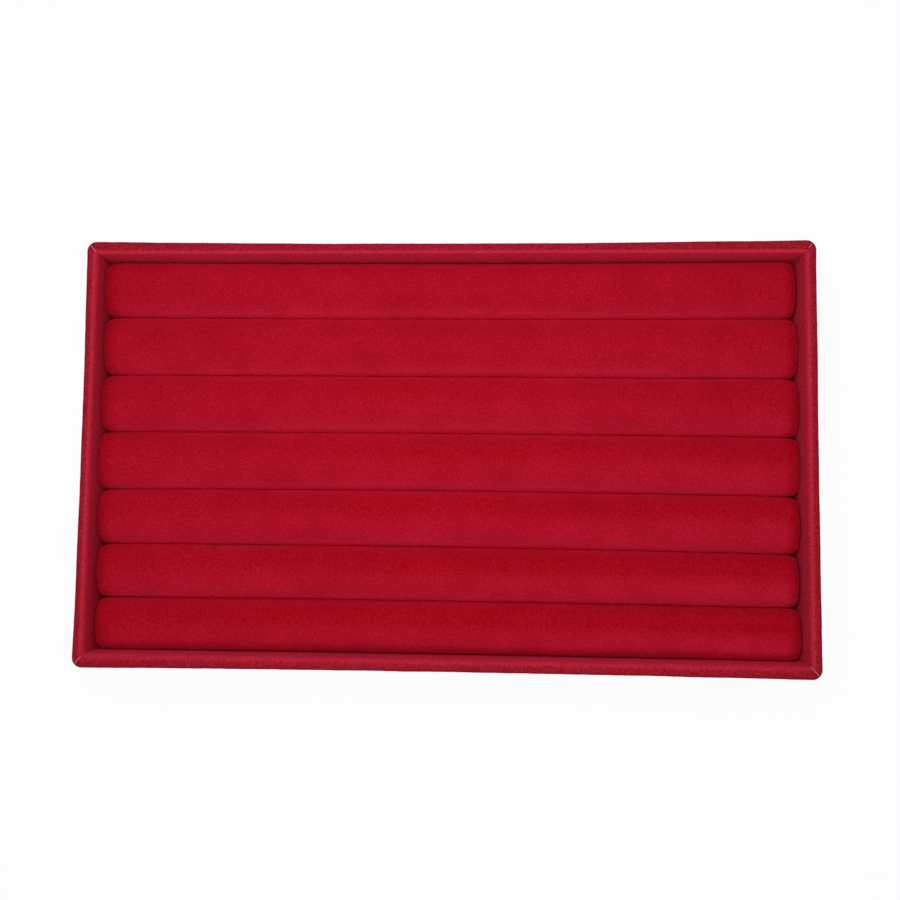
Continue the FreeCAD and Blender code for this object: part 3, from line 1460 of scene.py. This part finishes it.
        total = columns * rows
        number = np.arange(total).reshape(columns, rows)
        faces = quads_of(number).tolist()
        corners, places = [points.reshape(-1, 3)], [cloth.reshape(-1, 2)]
        for column in (0, columns - 1):
            patch = self.end_patch(points[column])
            grid = np.empty(patch.shape[:2], int)
            grid[:, 0] = number[column, :self.side_rows + 1]
            grid[:, -1] = number[column, ::-1][:self.side_rows + 1]
            grid[-1] = number[column, self.side_rows:self.side_rows + self.crown_rows + 1]
            inner = patch[:-1, 1:-1]
            added = inner.shape[0] * inner.shape[1]
            grid[:-1, 1:-1] = total + np.arange(added).reshape(inner.shape[:2])
            total += added
            corners.append(inner.reshape(-1, 3))
            places.append(inner[..., 1:].reshape(-1, 2))
            ends = np.stack([grid[:-1, :-1], grid[:-1, 1:], grid[1:, 1:], grid[1:, :-1]], axis=-1)
            faces += ends.reshape(-1, 4).tolist()
        return np.vstack(corners), faces, np.vstack(places)

    def end_patch(self, ring: np.ndarray) -> np.ndarray:
        """Fills one end of the loaf with a grid between its two sides, its crown and its base line.

        Args:
            ring: The end's outline from base corner to base corner.

        Returns:
            Places by row, from the base up, and column, from side to side.
        """
        left = ring[:self.side_rows + 1]
        right = ring[::-1][:self.side_rows + 1]
        top = ring[self.side_rows:self.side_rows + self.crown_rows + 1]
        across = np.linspace(0, 1, self.crown_rows + 1)[None, :, None]
        up = np.linspace(0, 1, self.side_rows + 1)[:, None, None]
        base = (1 - across[0]) * ring[0] + across[0] * ring[-1]
        ruled = (1 - across) * left[:, None] + across * right[:, None]
        lofted = (1 - up) * base[None] + up * top[None]
        corner = (1 - up) * base[None] + up * ((1 - across) * top[0] + across * top[-1])
        return ruled + lofted - corner

    def build(self) -> Object:
        """Makes the filled roll with its hem, pile relief, map and lean.

        Returns:
            The roll.
        """
        points, faces, places = self.cover()
        roll = new_piece(f"ring_roll_velvet_{self.number}", points, faces)
        turn_faces_out(roll)
        lay_cloth(roll, places)
        self.fill(roll)
        smooth = roll.modifiers.new("refine", "SUBSURF")
        smooth.levels = smooth.render_levels = 1
        freeze(roll)
        self.lay(roll)
        self.raise_pile(roll)
        self.press_in(roll)
        self.turn_under(roll)
        self.brush_and_paint_light(roll)
        return roll

    def fill(self, roll: Object) -> None:
        """Lets pressure fill the cover as foam does, held along its lower edge.

        Args:
            roll: The open cover, which keeps its corners' order.
        """
        before = corners_of(roll)
        low, _ = self.box
        held = roll.vertex_groups.new(name="held")
        for corner, height in enumerate(before[:, 2]):
            if height < low[2] + self.hem / 2:
                held.add([corner], 1.0, "REPLACE")
        stuffing = roll.modifiers.new("stuffing", "CLOTH")
        stuffing.settings.vertex_group_mass = held.name
        for name, value in FILLING.items():
            setattr(stuffing.settings, name, value)
        stuffing.settings.effector_weights.gravity = 0.0
        stuffing.collision_settings.use_collision = False
        stuffing.point_cache.frame_start = 1
        stuffing.point_cache.frame_end = FILLING_FRAMES
        scene = bpy.context.scene
        for moment in range(1, FILLING_FRAMES + 1):
            scene.frame_set(moment)
        freeze(roll)
        scene.frame_set(1)
        moved = corners_of(roll) - before
        length = np.linalg.norm(moved, axis=1)[:, None]
        LOG.info("roll %d filled: %.2f mm at most", self.number, length.max())
        place_corners(roll, before + moved * np.minimum(1, self.swell / np.maximum(length, TINY)))

    def groove(self, place: int, x: np.ndarray) -> np.ndarray:
        """Finds the line along which the roll meets its neighbour or a wall.

        Args:
            place: The groove's number, from 0 at the back wall.
            x: Places along the tray.

        Returns:
            The groove's place across the tray at each of them.
        """
        wall = self.sizes.half_width - self.sizes.wall
        if place == 0:
            return np.full_like(x, wall + WRAPPINGS[Side.BACK].pressed)
        if place == LAST:
            return np.full_like(x, -wall - WRAPPINGS[Side.FRONT].pressed)
        behind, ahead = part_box(f"roll_cover_{place}"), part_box(f"roll_cover_{place + 1}")
        line = (behind[0].y + ahead[1].y) / 2 / MM + GROOVES[place].at(x / self.sizes.half_length)
        spots = np.column_stack([x, np.zeros_like(x), np.zeros_like(x)])
        for height, size, seed in zip(self.wander, self.wander_size, self.wander_seed):
            line = line + height * unevenness(spots, size, seed * place)
        return line

    def lay(self, roll: Object) -> None:
        """Sets the roll in its place in the row, between two grooves that stray a little.

        Args:
            roll: The roll, about its own middle line.
        """
        low, high = self.box
        points = corners_of(roll)
        share = points[:, 0] / self.sizes.half_length
        back, front = GROOVES[self.number - 1].at(share), GROOVES[self.number].at(share)
        half = (high[1] - low[1]) / 2
        middle = (high[1] + low[1]) / 2
        points[:, 1] = middle + (back + front) / 2 + points[:, 1] * (1 + (back - front) / (2 * half))
        points[:, 2] = np.maximum(points[:, 2], low[2])
        place_corners(roll, points)

    def press_in(self, roll: Object) -> None:
        """Flattens the roll where it meets its neighbours and the walls.

        Args:
            roll: The roll in its place.
        """
        points = corners_of(roll)
        back, front = (self.groove(place, points[:, 0]) for place in (self.number - 1, self.number))
        points[:, 1] = np.clip(points[:, 1], front + self.touch, back - self.touch)
        end = self.wall_end - self.touch
        points[:, 0] = np.clip(points[:, 0], -end - WRAPPINGS[Side.LEFT].pressed, end)
        place_corners(roll, points)

    def turn_under(self, roll: Object) -> None:
        """Closes the base with the velvet's hem, round a window that shows the card.

        Args:
            roll: The roll, open along its base.
        """
        low, high = self.box
        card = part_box(f"roll_card_{self.number}")
        card_middle = (card[0].z + card[1].z) / 2
        window_low, window_high = (low + self.hem) * MM, (high - self.hem) * MM
        with mesh_of(roll) as work:
            edge = [e for e in work.edges if e.is_boundary]
            hem = bmesh.ops.extrude_edge_only(work, edges=edge)["geom"]
            for corner in (g for g in hem if isinstance(g, bmesh.types.BMVert)):
                corner.co.x = min(max(corner.co.x, window_low[0]), window_high[0])
                corner.co.y = min(max(corner.co.y, window_low[1]), window_high[1])
            lip = [g for g in hem if isinstance(g, bmesh.types.BMEdge) and g.is_boundary]
            raised = bmesh.ops.extrude_edge_only(work, edges=lip)["geom"]
            for corner in (g for g in raised if isinstance(g, bmesh.types.BMVert)):
                corner.co.z = card_middle
            bmesh.ops.remove_doubles(work, verts=work.verts, dist=10 * DOUBLES)
            bmesh.ops.dissolve_degenerate(work, edges=work.edges, dist=DOUBLES)
            bmesh.ops.holes_fill(work, edges=[e for e in work.edges if e.is_boundary], sides=0)

    def raise_pile(self, roll: Object) -> None:
        """Gives the cover its slow waves and pile clumps.

        Args:
            roll: The roll in its place.
        """
        low, _ = self.box
        points, normals = corners_of(roll), normals_of(roll)
        seed = self.seed * self.number
        high_spots = self.wave * unevenness(points, self.wave_size, seed)
        high_spots += self.tufting * unevenness(points, self.tuft_size, seed)
        none_below, full_over = self.base_calm
        above_base = np.clip((points[:, 2] - low[2] - none_below) / full_over, 0, 1)
        points += normals * (high_spots * above_base)[:, None]
        place_corners(roll, points)

    def brush_and_paint_light(self, roll: Object) -> None:
        """Opens the pile over the shoulders, which paints them lighter, and shuts it in the grooves and
        towards the ends, which leaves them painted darker.

        Args:
            roll: The finished roll.
        """
        low, high = self.box
        nap_and_painted_light, points = self.nap_and_painted_light, corners_of(roll)
        share = points[:, 0] / self.sizes.half_length
        forward = (self.number - 1) / (LAST - 1)
        # Painted highlight: stronger ahead of each crown and on the shoulders, more so towards the front and
        # the right
        towards_front = np.tanh(((low[1] + high[1]) / 2 - points[:, 1]) / nap_and_painted_light.swing_width)
        drop = np.clip((high[2] - points[:, 2]) / self.shoulder_drop, 0, 1)
        crown = nap_and_painted_light.crown + nap_and_painted_light.crown_swing * forward * (1 + nap_and_painted_light.swing_growth * share) * towards_front
        change = nap_and_painted_light.forward_change * forward
        shoulder = nap_and_painted_light.shoulder - change + (nap_and_painted_light.shoulder_swing + change) * towards_front
        side = drop**nap_and_painted_light.onset
        lean = np.minimum((1 - side) * crown + side * shoulder, 1)

        # The painted highlight fades in the grooves and down the front roll's front shoulder, which leaves
        # painted shade there
        back, front = (self.groove(place, points[:, 0]) for place in (self.number - 1, self.number))
        shut_back = (back - points[:, 1]) / (nap_and_painted_light.shut_wall if self.number == 1 else nap_and_painted_light.shut_back)
        shut_front, least = (points[:, 1] - front) / nap_and_painted_light.shut_front, nap_and_painted_light.least
        if self.number == LAST:
            shut_front = (points[:, 1] - low[1] - GROOVES[LAST].at(share)) / nap_and_painted_light.shut_last
            least = nap_and_painted_light.least_last
        lean *= least + (1 - least) * np.clip(np.minimum(shut_back, shut_front), 0, 1)

        # Painted shade at the ends: the painted highlight fades out towards them, wholly at the left end
        to_end = self.wall_end - np.abs(points[:, 0])
        lean *= np.clip(to_end / nap_and_painted_light.end_width, np.where(share < 0, *nap_and_painted_light.end_least), 1)
        lean *= 1 + nap_and_painted_light.patchy * unevenness(points, nap_and_painted_light.patch_size, self.seed * self.number)
        set_nap_and_painted_light(roll, lean)

    def finish(self, roll: Object, velvet: Material, card: Material) -> None:
        """Dresses the roll and its card and ties the roll to its body.

        Args:
            roll: The finished roll.
            velvet: The roll's material.
            card: The card's material.
        """
        dress(roll, velvet)
        dress(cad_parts[f"roll_card_{self.number}"], card)
        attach(roll, self.body)
        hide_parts(f"roll_cover_{self.number}", f"roll_foam_{self.number}")


@dataclass
class Studio:
    """Camera, plain white floor and soft light.

    Attributes:
        place: The camera's place.
        turn: The camera's turn about X, Y and Z in degrees.
        focal: The lens in millimetres.
        sensor: Width of the picture behind the lens.
        nearest: Nearest distance that the camera sees.
        floor_size: Width of the floor.
        floor_drop: How far the floor lies under the tray.
        floor_glow: Share of white in what the camera sees of the floor. The rest keeps the shadow.
        paper: Colour of the floor.
        world_light: Strength of the light from all round.
        key_place: The lamp's place. It points at the middle of the tray.
        key_size: The lamp's width.
        key_power: The lamp's power in watts.
    """

    place: tuple[float, float, float] = (16.62, -20.19, 337.85)
    turn: tuple[float, float, float] = (4.04, 2.641, 0.643)
    focal: float = 38.0
    sensor: float = 36.0
    nearest: float = 10.0
    floor_size: float = 6000.0
    floor_drop: float = 0.05
    floor_glow: float = 0.95
    paper: str = "#F4F4F4"
    world_light: float = 0.28
    key_place: tuple[float, float, float] = (-8.0, 36.0, 306.0)
    key_size: float = 300.0
    key_power: float = 0.83

    def build(self) -> None:
        """Sets up the whole studio."""
        scene = bpy.context.scene
        scene.view_settings.view_transform = "Standard"
        self.add_camera(scene)
        self.add_floor()
        self.add_lights(scene)

    def add_camera(self, scene: Scene) -> None:
        """Looks down on the tray from a little right of its middle and in front of it.

        Args:
            scene: The scene that gets the camera.
        """
        lens = bpy.data.cameras.new("camera")
        lens.lens, lens.sensor_width = self.focal, self.sensor
        lens.clip_start = self.nearest * MM
        camera = bpy.data.objects.new("camera", lens)
        camera.location = [value * MM for value in self.place]
        camera.rotation_euler = [math.radians(angle) for angle in self.turn]
        scene.collection.objects.link(camera)
        scene.camera = camera

    def seen_by_camera(self, tree: NodeTree) -> NodeSocket:
        """Adds the nodes that tell what the camera sees, also in gloss and through glass, from lighting.

        Args:
            tree: The material's or the world's nodes.

        Returns:
            A socket that gives 1 for what the camera sees and 0 for light.
        """
        ray = add_node(tree, "ShaderNodeLightPath").outputs
        seen = ray["Is Camera Ray"]
        for way in ("Is Glossy Ray", "Is Transmission Ray"):
            either = add_node(tree, "ShaderNodeMath", links={0: seen, 1: ray[way]}, operation="MAXIMUM")
            seen = either.outputs[0]
        return seen

    def add_floor(self) -> None:
        """Lays a white floor that keeps the tray's shadow."""
        half = self.floor_size / 2
        square = ((-half, -half), (half, -half), (half, half), (-half, half))
        corners = np.array([(x, y, -self.floor_drop) for x, y in square])
        floor = new_piece("studio_floor", corners, [(0, 1, 2, 3)])
        material = empty_material("white_paper_floor")
        tree = material.node_tree
        glow = add_node(
            tree, "ShaderNodeMath", {1: self.floor_glow}, {0: self.seen_by_camera(tree)},
            operation="MULTIPLY",
        )
        paper = add_node(tree, "ShaderNodeBsdfDiffuse", {"Color": linear(self.paper)})
        light = add_node(tree, "ShaderNodeEmission", {"Color": linear(WHITE), "Strength": 1.0})
        both = add_node(tree, "ShaderNodeMixShader", links={"Fac": glow, 1: paper, 2: light})
        add_node(tree, "ShaderNodeOutputMaterial", links={"Surface": both})
        dress(floor, material)

    def add_lights(self, scene: Scene) -> None:
        """Adds an even white surround and a large soft lamp over the tray.

        Args:
            scene: The scene that gets them.
        """
        world = bpy.data.worlds.new("studio")
        world.use_nodes = True
        tree = world.node_tree
        tree.nodes.clear()
        strength = add_node(
            tree, "ShaderNodeMapRange", {"To Min": self.world_light, "To Max": 1.0},
            {"Value": self.seen_by_camera(tree)},
        )
        surround = add_node(tree, "ShaderNodeBackground", {"Color": linear(WHITE)}, {"Strength": strength})
        add_node(tree, "ShaderNodeOutputWorld", links={"Surface": surround})
        scene.world = world
        lamp = bpy.data.lights.new("soft_key", "AREA")
        lamp.shape, lamp.size = "DISK", self.key_size * MM
        lamp.energy = self.key_power
        key = bpy.data.objects.new("soft_key", lamp)
        key.location = [value * MM for value in self.key_place]
        aim = -key.location
        key.rotation_euler = aim.to_track_quat("-Z", "Y").to_euler()
        scene.collection.objects.link(key)


def main() -> None:
    """Builds the tray, its rolls and the studio, and reports each piece."""
    logging.basicConfig(level=logging.INFO, format="%(name)s: %(message)s")
    sizes = TraySizes.from_frame()
    roll_velvet, wall_velvet = ROLL_VELVET.material(), WALL_VELVET.material()
    felt, greyboard, fibreboard = FELT.material(), GREYBOARD.material(), FIBREBOARD.material()

    for side in Side:
        wall = WallWrap(sizes, side)
        wrap = wall.build()
        wall.finish(wrap, wall_velvet, fibreboard)
        report(wrap)
    dress(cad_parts["base_board"], fibreboard)
    sewing = MitreThreads(sizes)
    threads = sewing.build(SEWING_THREAD.material())
    sewing.finish(threads)
    report(threads)

    lining = FlatSheet(
        name="floor_velvet", node="floor_lining", slot="velvet",
        inset=0.1, wave=0.12, tufting=0.05, faces_down=False,
    )
    underside = FlatSheet(
        name="underside_felt", node="underside_sheet", slot="underside_felt",
        inset=7.6, wave=0.06, tufting=0.04, faces_down=True,
    )
    for sheet, material in ((lining, roll_velvet), (underside, felt)):
        piece = sheet.build()
        sheet.finish(piece, material)
        report(piece)

    for number in range(1, LAST + 1):
        roll = RingRoll(sizes, number)
        piece = roll.build()
        roll.finish(piece, roll_velvet, greyboard)
        report(piece)

    Studio().build()


if __name__ == "__main__":
    main()
